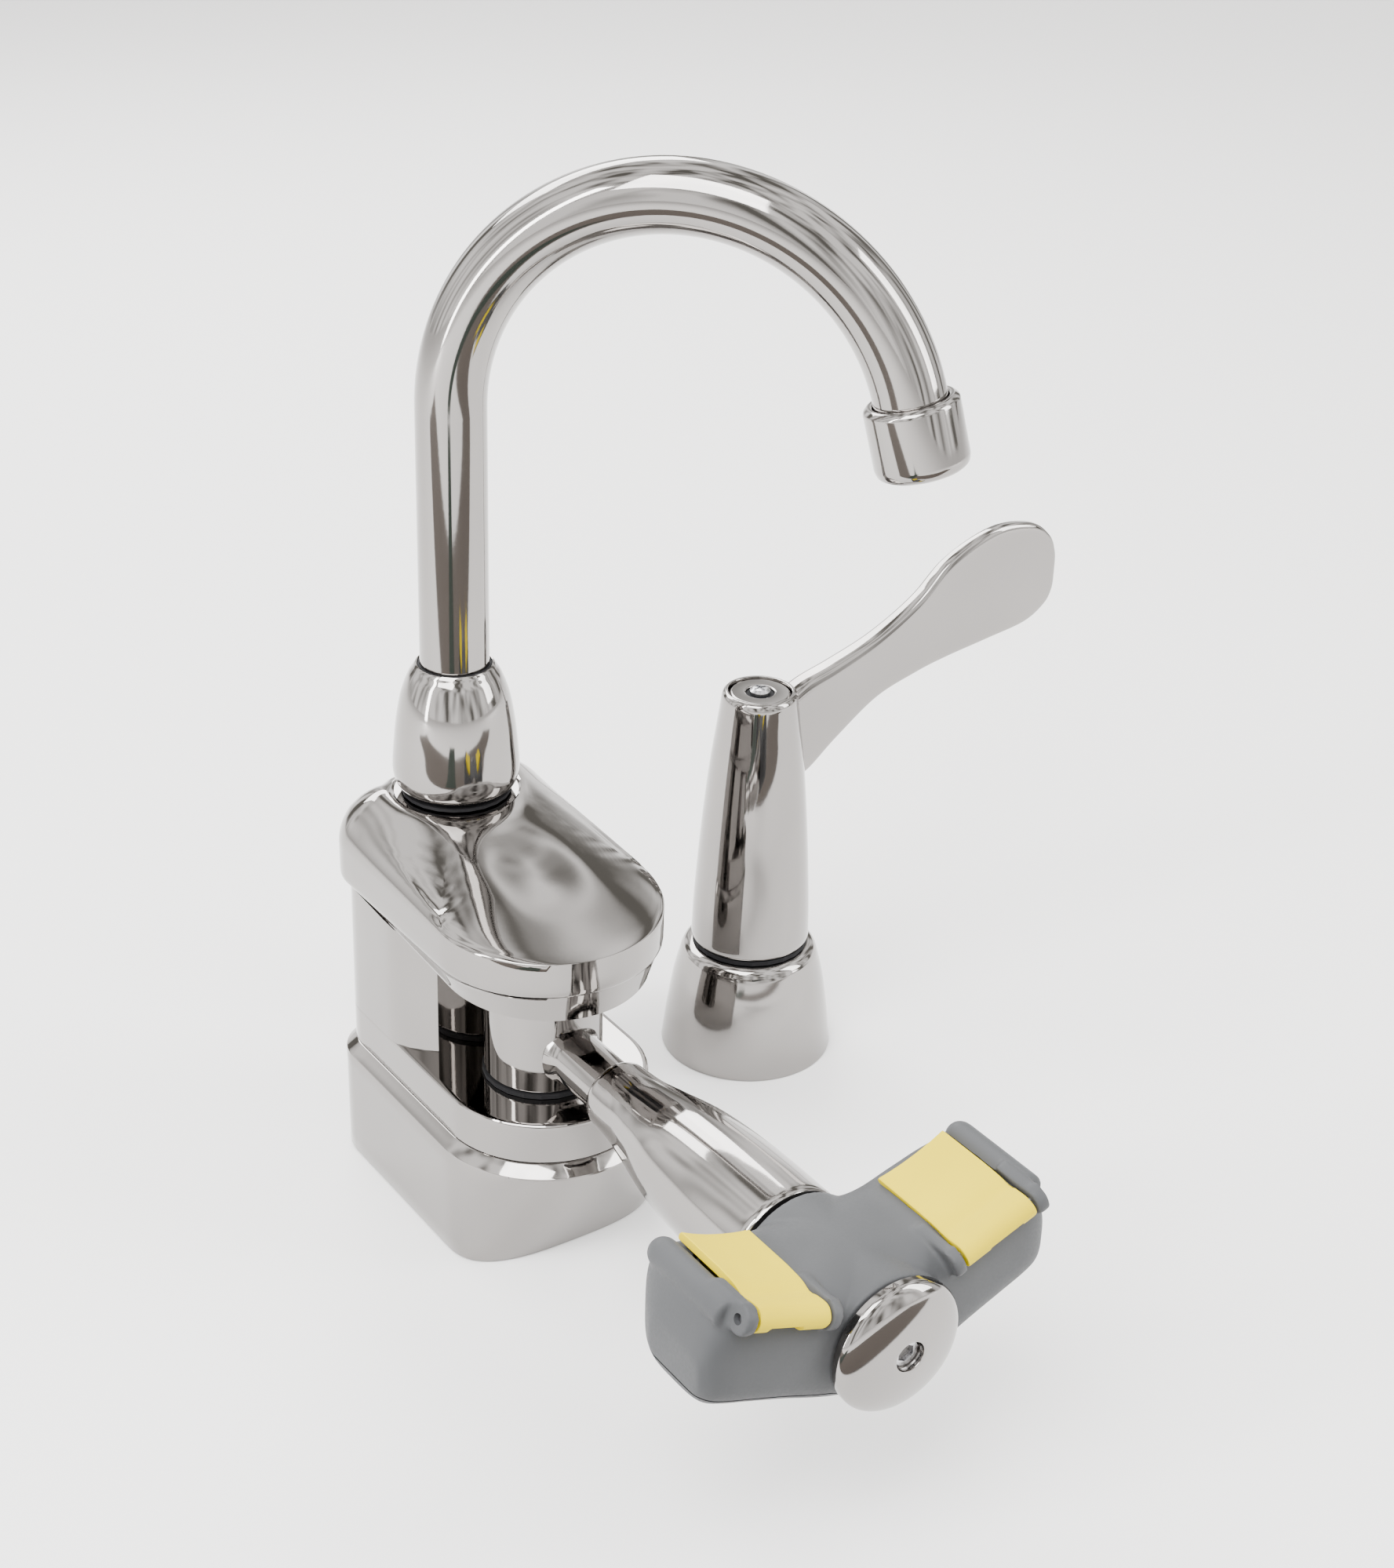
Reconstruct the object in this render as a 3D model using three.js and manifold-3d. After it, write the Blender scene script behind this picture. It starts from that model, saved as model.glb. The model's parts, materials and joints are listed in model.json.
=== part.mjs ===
// Deck-mounted eyewash faucet: a swing spout on a chrome body, a swing-out eyewash head with two
// flip-up dust covers, and a separate wrist-blade handle. Millimetres, +Z up.
// Origin: where the riser axis meets the deck. The front (towards the sink) is -Y.
import * as THREE from "three";
import { mergeVertices } from "three/addons/utils/BufferGeometryUtils.js";
import Module from "manifold-3d";

const wasm = await Module();
wasm.setup();

// ---- driving dimensions ----
const GAP = 0.3;
const DEG = Math.PI / 180;

// Body plan: a D outline whose nose is centred on the eyewash pivot.
const PIVOT_Y = -46.8;
const REAR_Y = 20;
const REAR_RADIUS = 15;
const BASE = { half: 32.4, nose: 32.8, power: 2 };
const FOOT = { half: 32.2, nose: 17.8, power: 2.9 };
const TIER = { half: 29.2, nose: 29.4, power: 2 };
const SKIRT_TOP = 33.7;
const TIER_BOTTOM = 36.5;
const LEDGE_Z = 48.7;
const WALL = 3.2;

// Column between the ledge and the hood.
const COLUMN_FRONT_Y = -29.9;
const COLUMN_FRONT_HALF = 23.5;
const COLUMN_SIDE_Y = -14;

// Hood.
const LIP_FRONT_Z = 81.1;
const LIP_SLOPE = 0.075;
const RIM_BOTTOM = 91;
const RIM_TOP = 101;
const CROWN_Z = 118.6;
const CROWN_SLOPE = 0.215;
const CROWN_ROUND = 32;

// Spout.
const TUBE_R = 9.525;
const TUBE_WALL = 1.5;
const COLLAR_R = 17.6;
const COLLAR_BOTTOM = 116.2;
const COLLAR_TOP = 153.6;
const BEND_Z = 226.2;
const BEND_R = 60.9;
const BEND_ANGLE = 165.6 * DEG;
const SPOUT_SWING = 42.7 * DEG;
const SPOUT_END = 5;
const AERATOR_R = 12.4;
const AERATOR_LENGTH = 19;

// Swing arm.
const ARM_Z = 61;
const HUB_R = 16.4;
const HUB_BOTTOM = 50.3;
const HUB_TOP = 80.5;
const CORE_R = 6;
const ARM_TUBE_R = 7.7;
const SLEEVE_START = -84;
const SLEEVE_END = -163;
const SLEEVE_R = 16.7;

// Eyewash head.
const HEAD_REAR = -163.4;
const HEAD_FRONT = -202.6;
const HEAD_MID = (HEAD_REAR + HEAD_FRONT) / 2;
const PAN_HEIGHT = 5.5;
const HEAD_POWER = 3.6;
const SEAM_REACH = 40;
const HEAD_TILT = 20 * DEG;
const SEAT_X = 30;
const SEAT_Z = 81.3;
const COVER_LENGTH = 21;
const HINGE_Y = -201.8;
const HINGE_DROP = 1.3;
const PLATE_HALF = 1.1;
const BARREL_R = 3.3;
const EAR_R = 3.7;
const EAR_NEAR = 11.1;
const EAR_FAR = 14.3;
const PIN_R = 1.2;
const PIN_HALF = 13;
const SEAT_BORE = 11;
const CAP_R = 17.7;
const WATERWAY_R = 17.4;

// Handle group, on four-inch centres beside the riser.
const HANDLE_X = 101.6;
const HANDLE_Y = -2.7;
const BELL_TOP = 36.2;
const HUB_BASE_Z = 38;
const LEVER_TOP = 121.4;

// ---- materials ----
const material = (color, roughness, metalness) =>
  new THREE.MeshStandardMaterial({ color, roughness, metalness });
const chrome = () => material(0xc8c9cb, 0.08, 1);
const brass = () => material(0xb59a57, 0.35, 1);
const steel = () => material(0x9a9da0, 0.3, 1);
const greyPlastic = () => material(0x818284, 0.55, 0);
const yellowPlastic = () => material(0xf4e23c, 0.5, 0);
const rubber = () => material(0x16171a, 0.75, 0);

const root = new THREE.Group();

function addMesh(name, geometry, look, parent = root) {
  const mesh = new THREE.Mesh(geometry, look);
  mesh.name = name;
  parent.add(mesh);
  return mesh;
}

// ---- solids ----
function toSolid(geometry) {
  const bare = geometry.clone();
  bare.deleteAttribute("normal");
  bare.deleteAttribute("uv");
  const merged = mergeVertices(bare, 1e-3);
  return new wasm.Manifold(
    new wasm.Mesh({
      numProp: 3,
      vertProperties: merged.attributes.position.array,
      triVerts: new Uint32Array(merged.index.array),
    }),
  );
}

function toGeometry(solid) {
  const mesh = solid.getMesh();
  const geometry = new THREE.BufferGeometry();
  geometry.setAttribute("position", new THREE.BufferAttribute(mesh.vertProperties, 3));
  geometry.setIndex(new THREE.BufferAttribute(mesh.triVerts, 1));
  geometry.computeVertexNormals();
  return geometry;
}

const cut = (geometry, ...tools) =>
  toGeometry(tools.reduce((solid, tool) => solid.subtract(toSolid(tool)), toSolid(geometry)));
const join = (geometry, ...others) =>
  toGeometry(others.reduce((solid, other) => solid.add(toSolid(other)), toSolid(geometry)));

// A closed skin over rings of equal point counts, fanned shut at both ends.
function loft(rings) {
  const count = rings[0].length;
  const points = rings.flat();
  const index = [];
  for (let ring = 0; ring + 1 < rings.length; ring += 1) {
    for (let i = 0; i < count; i += 1) {
      const a = ring * count + i;
      const b = ring * count + ((i + 1) % count);
      index.push(a, b, b + count, a, b + count, a + count);
    }
  }
  const last = (rings.length - 1) * count;
  const centres = [rings[0], rings[rings.length - 1]].map((ring) =>
    ring.reduce((sum, p) => sum.add(p), new THREE.Vector3()).divideScalar(count),
  );
  const first = points.length;
  points.push(...centres);
  for (let i = 0; i < count; i += 1) {
    const next = (i + 1) % count;
    index.push(first, next, i, first + 1, last + i, last + next);
  }
  const geometry = new THREE.BufferGeometry().setFromPoints(points);
  geometry.setIndex(index);
  geometry.computeVertexNormals();
  return geometry;
}

// A body of revolution about +Z from [radius, height] pairs, bottom to top round the outside.
function turned(profile, segments = 24) {
  const points = profile.map(([r, z]) => new THREE.Vector2(r, z));
  return new THREE.LatheGeometry(points, segments).rotateX(Math.PI / 2);
}

// A disc or bar about +Z between two heights.
function bar(radius, bottom, top, segments = 18) {
  const shape = new THREE.CylinderGeometry(radius, radius, top - bottom, segments);
  return shape.rotateX(Math.PI / 2).translate(0, 0, (top + bottom) / 2);
}

function ringBar(outer, inner, bottom, top, segments = 22) {
  return turned([[inner, bottom], [outer, bottom], [outer, top], [inner, top], [inner, bottom]], segments);
}

// D outline in plan: a super-elliptic nose about the pivot, straight sides and round rear corners.
function plan({ half, nose, power }, inset = 0, height = () => 0) {
  const NOSE_STEPS = 20;
  const CORNER_STEPS = 4;
  const a = half - inset;
  const b = nose - inset;
  const ring = [];
  const put = (x, y) => ring.push(new THREE.Vector3(x, y, height(y)));
  for (let i = 0; i <= NOSE_STEPS; i += 1) {
    const angle = Math.PI * (1 + i / NOSE_STEPS);
    const c = Math.cos(angle);
    const s = Math.abs(Math.sin(angle));
    put(a * Math.sign(c) * Math.abs(c) ** (2 / power), PIVOT_Y - b * s ** (2 / power));
  }
  const radius = Math.max(REAR_RADIUS - inset, 2);
  const cornerY = REAR_Y - inset - radius;
  for (const side of [0, 1]) {
    for (let i = 0; i <= CORNER_STEPS; i += 1) {
      const angle = (side + i / CORNER_STEPS) * (Math.PI / 2);
      const centreX = side ? -(a - radius) : a - radius;
      put(centreX + radius * Math.cos(angle), cornerY + radius * Math.sin(angle));
    }
  }
  return ring;
}

const level = (z) => () => z;

// ---- base, tier and column ----
function baseSkirt() {
  const outer = loft([
    plan(FOOT, 0, level(0)),
    plan(BASE, 0, level(SKIRT_TOP)),
    plan(TIER, -0.6, level(TIER_BOTTOM)),
  ]);
  const hollow = loft([plan(FOOT, WALL, level(-1)), plan(FOOT, WALL + 1, level(SKIRT_TOP - WALL))]);
  const opening = bar(TUBE_R + 2, 0, LEDGE_Z);
  return cut(outer, hollow, opening);
}

// Column plan: the tier's rear outline, tapering in to a flat front face.
function columnPlan(inset, height) {
  return plan(TIER, inset, level(0)).map((p) => {
    const forward = THREE.MathUtils.clamp((COLUMN_SIDE_Y - p.y) / (COLUMN_SIDE_Y - COLUMN_FRONT_Y), 0, 1);
    const y = Math.max(p.y, COLUMN_FRONT_Y);
    const limit = THREE.MathUtils.lerp(TIER.half, COLUMN_FRONT_HALF, forward) - inset;
    const x = p.y < COLUMN_FRONT_Y ? (p.x / (TIER.half - inset)) * limit : p.x;
    return new THREE.Vector3(x, y, height(y));
  });
}

const lipHeight = (y) => LIP_FRONT_Z + LIP_SLOPE * (y - PIVOT_Y + BASE.nose);

function bodyCasting() {
  const tier = loft([
    plan(TIER, 0, level(TIER_BOTTOM + GAP)),
    plan(TIER, 0, level(LEDGE_Z - 0.8)),
    plan(TIER, 0.8, level(LEDGE_Z)),
  ]);
  const column = loft([
    columnPlan(0, level(LEDGE_Z - 1)),
    columnPlan(0, (y) => lipHeight(y) - GAP),
  ]);
  const shankBore = bar(TUBE_R + 2, 0, LEDGE_Z + CROWN_Z);
  const pivotBore = bar(CORE_R + GAP, 0, LEDGE_Z + 2).translate(0, PIVOT_Y, 0);
  return cut(join(tier, column), shankBore, pivotBore);
}

// ---- hood ----
// Height of the hood's top: an arch over the distance in from the rim, falling towards the front.
function crownHeight(x, y, rim) {
  const inward = Math.min(...rim.map((p) => Math.hypot(p.x - x, p.y - y)));
  const outside = Math.max(1 - inward / CROWN_ROUND, 0);
  const ridge = CROWN_Z + CROWN_SLOPE * y;
  return RIM_TOP + (ridge - RIM_TOP) * Math.sqrt(1 - outside ** 2);
}

function hoodCover() {
  const rim = plan(BASE, 0, level(RIM_TOP));
  const rings = [
    plan(TIER, 0, lipHeight),
    plan(BASE, 0.5, level(RIM_BOTTOM)),
    plan(BASE, 0, level(RIM_BOTTOM + 1)),
    rim,
  ];
  // From the rim the top runs in to the round seat under the collar.
  const seatR = 15.4;
  const seatZ = COLLAR_BOTTOM - 1.3;
  for (const t of [0.04, 0.11, 0.22, 0.38, 0.6, 0.85, 1]) {
    rings.push(
      rim.map((p) => {
        const angle = Math.atan2(p.y, p.x);
        const x = THREE.MathUtils.lerp(p.x, seatR * Math.cos(angle), t);
        const y = THREE.MathUtils.lerp(p.y, seatR * Math.sin(angle), t);
        return new THREE.Vector3(x, y, THREE.MathUtils.lerp(crownHeight(x, y, rim), seatZ, t ** 5));
      }),
    );
  }
  const pocket = loft([plan(TIER, WALL, level(LIP_FRONT_Z - 2)), plan(TIER, WALL, level(RIM_TOP - 4))]);
  const bore = bar(TUBE_R + 1.5, LIP_FRONT_Z, CROWN_Z + 5);
  const collarRoom = bar(COLLAR_R + 0.4, COLLAR_BOTTOM - 1.3, CROWN_Z + 12, 40);
  return cut(loft(rings), pocket, bore, collarRoom);
}

addMesh("base_skirt", baseSkirt(), chrome());
addMesh("body_casting", bodyCasting(), chrome());
addMesh("hood_cover", hoodCover(), chrome());

// ---- pieces inside the base ----
const PLATE_TOP = 4;
const INLET_X = 17;
const INLET_R = 4.8;

function mountingPlate() {
  const plate = loft([plan(FOOT, WALL + 2, level(0)), plan(FOOT, WALL + 2, level(PLATE_TOP))]);
  const holes = [-INLET_X, INLET_X].map((x) => bar(INLET_R + 0.6, -1, PLATE_TOP + 1).translate(x, 0, 0));
  return cut(plate, ...holes);
}

addMesh("mounting_plate", mountingPlate(), steel());
addMesh("spout_shank", ringBar(8, 5.5, PLATE_TOP + GAP, COLLAR_BOTTOM - 2), brass());
for (const [name, side] of [["inlet_tube_left", -1], ["inlet_tube_right", 1]]) {
  const tube = ringBar(INLET_R, INLET_R - 1, GAP, SKIRT_TOP - WALL - 1, 20);
  addMesh(name, tube.translate(side * INLET_X, 0, 0), brass());
}

// ---- spout ----
const spline = (...pairs) => new THREE.SplineCurve(pairs.map(([r, z]) => new THREE.Vector2(r, z)));

const collarProfile = spline(
  [15.2, 116.2],
  [17.1, 118.6],
  [COLLAR_R, 122.5],
  [17.1, 130],
  [16.3, 137.7],
  [14.9, 145],
  [12.6, 151.6],
  [10.6, 153.6],
);

function collar() {
  const outside = collarProfile.getPoints(10).map((p) => [p.x, p.y]);
  const inner = TUBE_R + GAP;
  return turned(
    [
      [inner, COLLAR_BOTTOM],
      ...outside,
      [10.4, COLLAR_TOP - 1.2],
      [inner, COLLAR_TOP - 1.2],
      [inner, COLLAR_BOTTOM],
    ],
    30,
  );
}

class GooseneckCurve extends THREE.Curve {
  constructor() {
    super();
    this.rise = BEND_Z - COLLAR_BOTTOM - 1;
    this.bend = BEND_R * BEND_ANGLE;
    this.total = this.rise + this.bend + SPOUT_END;
  }

  getPoint(t) {
    const along = t * this.total;
    const angle = THREE.MathUtils.clamp((along - this.rise) / BEND_R, 0, BEND_ANGLE);
    const before = Math.min(along - this.rise, 0);
    const after = Math.max(along - this.rise - this.bend, 0);
    const reach = BEND_R * (1 - Math.cos(angle)) + after * Math.sin(angle);
    const height = BEND_Z + before + BEND_R * Math.sin(angle) + after * Math.cos(angle);
    return new THREE.Vector3(0, -reach, height);
  }
}

const spout = new THREE.Group();
spout.rotation.z = SPOUT_SWING;
root.add(spout);

function gooseneck() {
  const section = new THREE.Shape().absarc(0, 0, TUBE_R, 0, 2 * Math.PI);
  section.holes.push(new THREE.Path().absarc(0, 0, TUBE_R - TUBE_WALL, 0, 2 * Math.PI, true));
  return new THREE.ExtrudeGeometry(section, {
    steps: 26,
    curveSegments: 7,
    bevelEnabled: false,
    extrudePath: new GooseneckCurve(),
  });
}

addMesh("collar", collar(), chrome(), spout);
addMesh("gooseneck", gooseneck(), chrome(), spout);
addMesh("collar_base_seal", ringBar(15.4, 11.2, COLLAR_BOTTOM - 1.1, COLLAR_BOTTOM - 0.2), rubber());
addMesh("collar_top_seal", ringBar(10.15, TUBE_R + 0.1, COLLAR_TOP - 1, COLLAR_TOP - 0.2), rubber());

// The aerator hangs on the spout's end, along the tube's last direction.
const aerator = new THREE.Group();
aerator.position.set(
  0,
  -BEND_R * (1 - Math.cos(BEND_ANGLE)),
  BEND_Z + BEND_R * Math.sin(BEND_ANGLE),
);
aerator.rotation.x = BEND_ANGLE;
spout.add(aerator);

function aeratorHousing() {
  const outer = AERATOR_R;
  const bore = TUBE_R + GAP;
  return turned(
    [
      [bore, 0],
      [outer - 1.2, 0],
      [outer, 1.4],
      [outer, AERATOR_LENGTH - 3],
      [outer - 0.8, AERATOR_LENGTH - 0.9],
      [outer - 2, AERATOR_LENGTH],
      [bore, AERATOR_LENGTH],
      [bore, 0],
    ],
    26,
  );
}

addMesh("aerator_housing", aeratorHousing(), chrome(), aerator);
addMesh("aerator_washer", ringBar(9.5, 6.5, SPOUT_END + GAP, SPOUT_END + 2.3), rubber(), aerator);
addMesh("aerator_screen", bar(9.5, AERATOR_LENGTH - 4, AERATOR_LENGTH - 1.6, 28), steel(), aerator);

// ---- swing arm ----
const pivot = new THREE.Group();
pivot.position.y = PIVOT_Y;
root.add(pivot);

addMesh("pivot_core", bar(CORE_R, SKIRT_TOP + 4, RIM_TOP - 5), brass(), pivot);
const pivotSeal = ringBar(HUB_R + 0.5, CORE_R + 1, LEDGE_Z + 0.15, HUB_BOTTOM - 0.2);
addMesh("pivot_seal", pivotSeal, rubber(), pivot);
const bushing = ringBar(CORE_R + 4, CORE_R + GAP, HUB_TOP + 2 * GAP, HUB_TOP + 10);
addMesh("pivot_bushing", bushing, brass(), pivot);

function pivotHub() {
  const bore = CORE_R + GAP;
  return turned(
    [
      [bore, HUB_BOTTOM],
      [HUB_R, HUB_BOTTOM],
      [HUB_R, HUB_TOP - 0.8],
      [HUB_R - 0.8, HUB_TOP],
      [bore, HUB_TOP],
      [bore, HUB_BOTTOM],
    ],
    28,
  );
}

// Turns a body made about +Z so that it runs forwards along -Y at the arm's height.
const forwards = (geometry) => geometry.rotateX(Math.PI / 2).translate(0, 0, ARM_Z);

function armTube() {
  const tube = ringBar(ARM_TUBE_R, 5.4, 12, PIVOT_Y - SLEEVE_START - GAP);
  return cut(forwards(tube), bar(HUB_R + GAP, HUB_BOTTOM - 2, HUB_TOP + 2, 28));
}

const sleeveProfile = spline(
  [9.3, 37.2],
  [9.9, 39],
  [10.8, 49],
  [12.6, 58],
  [15.1, 71],
  [16.4, 86],
  [SLEEVE_R, 100],
  [SLEEVE_R, 116.2],
);

function armSleeve() {
  const outside = sleeveProfile.getPoints(9).map((p) => [p.x, p.y]);
  const front = PIVOT_Y - SLEEVE_END;
  const inside = [[13, front], [7, front - 40], [5.4, PIVOT_Y - SLEEVE_START]];
  return forwards(turned([inside[2], ...outside, ...inside], 28));
}

addMesh("pivot_hub", pivotHub(), chrome(), pivot);
addMesh("arm_tube", armTube(), chrome(), pivot);
addMesh("arm_sleeve", armSleeve(), chrome(), pivot);

// ---- eyewash head ----
// Distances from the pivot to the rear and front faces of the head's waterway.
const HEAD_REAR_REACH = PIVOT_Y - HEAD_REAR;
const HEAD_FRONT_REACH = PIVOT_Y - HEAD_FRONT;

// Station along X: middle along Y, bottom and top heights and half depth of the grey manifold.
const headHalf = [
  { x: 0, y: HEAD_MID, bottom: 43.4, top: 78.4, depth: 19.6 },
  { x: 9, y: HEAD_MID, bottom: 43.6, top: 78.2, depth: 19.6 },
  { x: 17, y: HEAD_MID, bottom: 45.8, top: 78.4, depth: 19.2 },
  { x: 27, y: HEAD_MID, bottom: 49.8, top: 81.4, depth: 18.8 },
  { x: 37, y: HEAD_MID, bottom: 53.2, top: 84.4, depth: 18.2 },
  { x: 44, y: HEAD_MID - 0.8, bottom: 55.6, top: 85.8, depth: 16.8 },
  { x: 48, y: HEAD_MID - 2.4, bottom: 57.6, top: 81, depth: 13.8 },
  { x: 50.4, y: HEAD_MID - 3.8, bottom: 60.6, top: 73, depth: 10 },
];
const headStations = [...headHalf.slice(1).reverse().map((s) => ({ ...s, x: -s.x })), ...headHalf];

const headBody = () =>
  loft(headStations.map((s) => section(s.x, s.y, s.bottom, s.top, s.depth, HEAD_POWER)));

// Everything between two heights above the head's underside, to part the pan from the shell.
const seamBand = (from, to) =>
  loft(
    headStations.map((s) => {
      const x = s.x * 1.1;
      const [low, high] = [s.bottom + from, s.bottom + to];
      return [
        new THREE.Vector3(x, HEAD_MID - SEAM_REACH, low),
        new THREE.Vector3(x, HEAD_MID + SEAM_REACH, low),
        new THREE.Vector3(x, HEAD_MID + SEAM_REACH, high),
        new THREE.Vector3(x, HEAD_MID - SEAM_REACH, high),
      ];
    }),
  );

const headPan = () => cut(headBody(), seamBand(PAN_HEIGHT, SEAM_REACH + PAN_HEIGHT));

const seatMatrix = (side) =>
  new THREE.Matrix4()
    .makeRotationY(-side * HEAD_TILT)
    .setPosition(side * SEAT_X, HEAD_MID, SEAT_Z);

const hingeMatrix = (side) =>
  new THREE.Matrix4()
    .makeRotationY(-side * HEAD_TILT)
    .setPosition(side * SEAT_X, HINGE_Y, SEAT_Z - HINGE_DROP);

// A bar along the sloping hinge line, between two distances outwards from the seat's centre.
function hingeBar(side, radius, near, far, segments = 14) {
  const ends = [side * near, side * far];
  return bar(radius, Math.min(...ends), Math.max(...ends), segments)
    .rotateY(Math.PI / 2)
    .applyMatrix4(hingeMatrix(side));
}

// A hinge ear: a round eye on the hinge line and a block that ties it back to the shell.
function ear(side, near, far) {
  const block = new THREE.BoxGeometry(far - near, 12, 2 * EAR_R);
  block.translate((side * (near + far)) / 2, 6, 0).applyMatrix4(hingeMatrix(side));
  return [hingeBar(side, EAR_R, near, far), block];
}

// End ridge of the shell, with its round rear nub, along -Y.
function endRidge() {
  const profile = [
    [0, -14.6],
    [2.3, -13.9],
    [3.5, -12],
    [3.8, -9.6],
    [3.8, 13],
    [3, 15.6],
    [0, 16],
  ];
  return turned(profile, 18).rotateX(Math.PI / 2);
}

function headShell() {
  const joined = [forwards(bar(WATERWAY_R, HEAD_REAR_REACH, HEAD_FRONT_REACH, 32)).translate(0, PIVOT_Y, 0)];
  const cuts = [seamBand(-SEAM_REACH, PAN_HEIGHT + GAP)];
  for (const side of [-1, 1]) {
    const seat = seatMatrix(side);
    joined.push(endRidge().translate(side * 13.4, 0, -2.6).applyMatrix4(seat));
    joined.push(...ear(side, EAR_NEAR, EAR_FAR), ...ear(side, -EAR_FAR, -EAR_NEAR));
    cuts.push(bar(SEAT_BORE, -9, 6).applyMatrix4(seat));
    cuts.push(hingeBar(side, PIN_R + GAP, -20, 20));
    cuts.push(hingeBar(side, BARREL_R + 0.5, -11, 11));
    cuts.push(new THREE.BoxGeometry(COVER_LENGTH + 0.9, 60, 8).translate(0, 0, 3.4).applyMatrix4(seat));
  }
  return cut(join(headBody(), ...joined), ...cuts);
}

const head = new THREE.Group();
head.position.y = -PIVOT_Y;
pivot.add(head);
addMesh("head_pan", headPan(), greyPlastic(), head);
addMesh("head_shell", headShell(), greyPlastic(), head);

function nozzle() {
  return turned([[0, -8.6], [9.8, -8.6], [9.8, -1.6], [8.8, -1.6], [8.8, -3.6], [0, -3.6]], 28);
}

// Perforated disc over the nozzle.
function sprayScreen() {
  const HOLES = 6;
  const holes = [bar(0.9, -5, 0, 8)];
  for (let i = 0; i < HOLES; i += 1) {
    const angle = (i / HOLES) * 2 * Math.PI;
    holes.push(bar(0.9, -5, 0, 8).translate(5 * Math.cos(angle), 5 * Math.sin(angle), 0));
  }
  return cut(bar(8.5, -3.3, -2.2, 28), ...holes);
}

// The cover lies over the nozzle and turns up and forwards about its front barrel.
function dustCover() {
  const rear = 30.8;
  const plate = new THREE.BoxGeometry(COVER_LENGTH, rear, 2 * PLATE_HALF);
  plate.translate(0, rear / 2, BARREL_R - PLATE_HALF);
  const barrel = bar(BARREL_R, -COVER_LENGTH / 2, COVER_LENGTH / 2, 20).rotateY(Math.PI / 2);
  const hole = bar(PIN_R + GAP, -20, 20, 12).rotateY(Math.PI / 2);
  return cut(join(plate, barrel), hole);
}

for (const [word, side] of [["left", -1], ["right", 1]]) {
  const seat = new THREE.Group();
  seat.applyMatrix4(seatMatrix(side));
  head.add(seat);
  addMesh(`nozzle_${word}`, nozzle(), greyPlastic(), seat);
  addMesh(`nozzle_screen_${word}`, sprayScreen(), steel(), seat);
  const hinge = new THREE.Group();
  hinge.applyMatrix4(hingeMatrix(side));
  head.add(hinge);
  addMesh(`cover_${word}`, dustCover(), yellowPlastic(), hinge);
  const pin = bar(PIN_R, -PIN_HALF, PIN_HALF, 12).rotateY(Math.PI / 2);
  addMesh(`hinge_pin_${word}`, pin, steel(), hinge);
}

// Domed end cap over the front of the head's waterway, with a sunk socket screw.
const CAP_START = PIVOT_Y - HEAD_FRONT + GAP;

function endCap() {
  const edge = CAP_START + 2.4;
  const rise = 5.2;
  const curve = new THREE.EllipseCurve(0, edge, CAP_R, rise, 0, Math.PI / 2).getPoints(5);
  const dome = curve.slice(0, -1).map((p) => [p.x, p.y]);
  const body = turned([[0, CAP_START], [CAP_R - 0.6, CAP_START], ...dome, [0, edge + rise]], 28);
  return cut(forwards(body), forwards(bar(4.4, CAP_START + 3, CAP_START + 12)));
}

function endCapScrew() {
  const body = forwards(bar(4, CAP_START + 3.3, CAP_START + 5.6));
  return cut(body, forwards(bar(2.3, CAP_START + 4.2, CAP_START + 9, 6)));
}

addMesh("end_cap", endCap(), chrome(), pivot);
addMesh("end_cap_screw", endCapScrew(), steel(), pivot);

// ---- handle group ----
const handle = new THREE.Group();
handle.position.set(HANDLE_X, HANDLE_Y, 0);
root.add(handle);

const bellProfile = spline(
  [26.6, 0],
  [26.2, 4],
  [25.3, 11.6],
  [23.4, 23.3],
  [21.3, 32],
  [20.2, 34.8],
  [18.6, BELL_TOP],
);

function escutcheon() {
  const outside = bellProfile.getPoints(8).map((p) => [p.x, p.y]);
  return turned([[22.6, 0], ...outside, [15.4, BELL_TOP], [15.4, 33], [22.6, 0]], 32);
}

// A rounded section in the plane x = constant.
function section(x, centreY, bottom, top, depth, power, steps = 20) {
  const ring = [];
  for (let i = 0; i < steps; i += 1) {
    const angle = (i / steps) * 2 * Math.PI;
    const c = Math.cos(angle);
    const s = Math.sin(angle);
    const y = centreY + depth * Math.sign(c) * Math.abs(c) ** (2 / power);
    const z = (bottom + top) / 2 + ((top - bottom) / 2) * Math.sign(s) * Math.abs(s) ** (2 / power);
    ring.push(new THREE.Vector3(x, y, z));
  }
  return ring;
}

const hubProfile = spline(
  [18.2, HUB_BASE_Z],
  [17.8, 51.6],
  [16.4, 73.7],
  [14.5, 95.1],
  [12.5, 111],
  [11.2, 120.4],
);

// Wrist blade stations along X: top and bottom heights and thickness.
const bladeStations = [
  { x: 9, bottom: 91, top: 119, thick: 9 },
  { x: 16, bottom: 91, top: 121.6, thick: 8.8 },
  { x: 27, bottom: 99.5, top: 124.6, thick: 8.4 },
  { x: 42, bottom: 109.6, top: 130, thick: 7.6 },
  { x: 57, bottom: 114, top: 138, thick: 6.8 },
  { x: 69, bottom: 116.6, top: 149, thick: 6 },
  { x: 87, bottom: 119, top: 155.8, thick: 5.2 },
  { x: 102, bottom: 121.8, top: 154.4, thick: 4.6 },
  { x: 109.4, bottom: 125.6, top: 149, thick: 4 },
  { x: 112.4, bottom: 131, top: 142, thick: 3 },
];

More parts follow.
